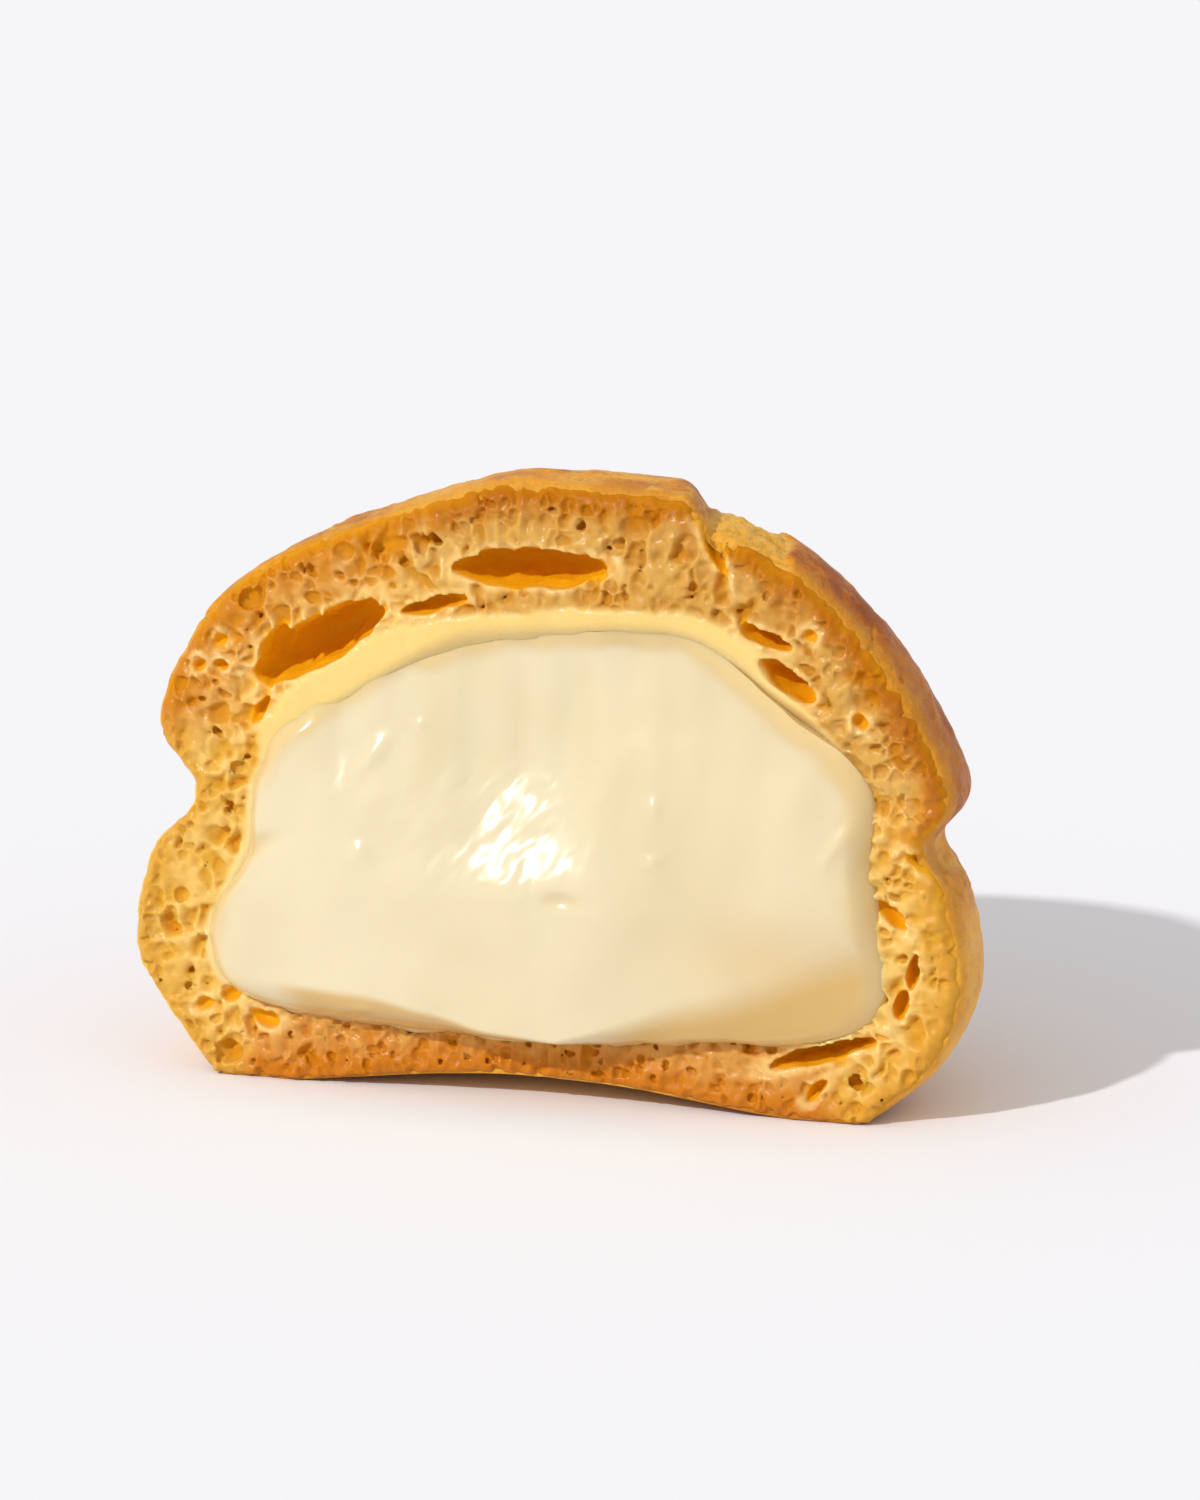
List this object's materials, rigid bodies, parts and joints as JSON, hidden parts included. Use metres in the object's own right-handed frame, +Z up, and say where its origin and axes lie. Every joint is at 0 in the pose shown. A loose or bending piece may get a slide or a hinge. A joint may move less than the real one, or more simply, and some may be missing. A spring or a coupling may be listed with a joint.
{
  "type": "cream puff",
  "caption": "Half of a cut cream puff: a domed choux shell with a waist and a foot round a thick custard filling that swells out of the cut face.",
  "frame": {"origin": "under the middle of the bounding box, on the plane that the base rests on", "axes": "+Z up, -Y the way the cut face looks, +X to the right of a viewer who faces the cut"},
  "size_m": [0.0817, 0.0478, 0.0596],
  "materials": {
    "baked_choux": "baked choux crust, golden brown and dry, with a pale open crumb at the cut",
    "custard": "smooth thick custard with a soft wet sheen"
  },
  "bodies": {
    "root": {"choux_shell": "baked_choux", "cream_filling": "custard"}
  },
  "joints": []
}
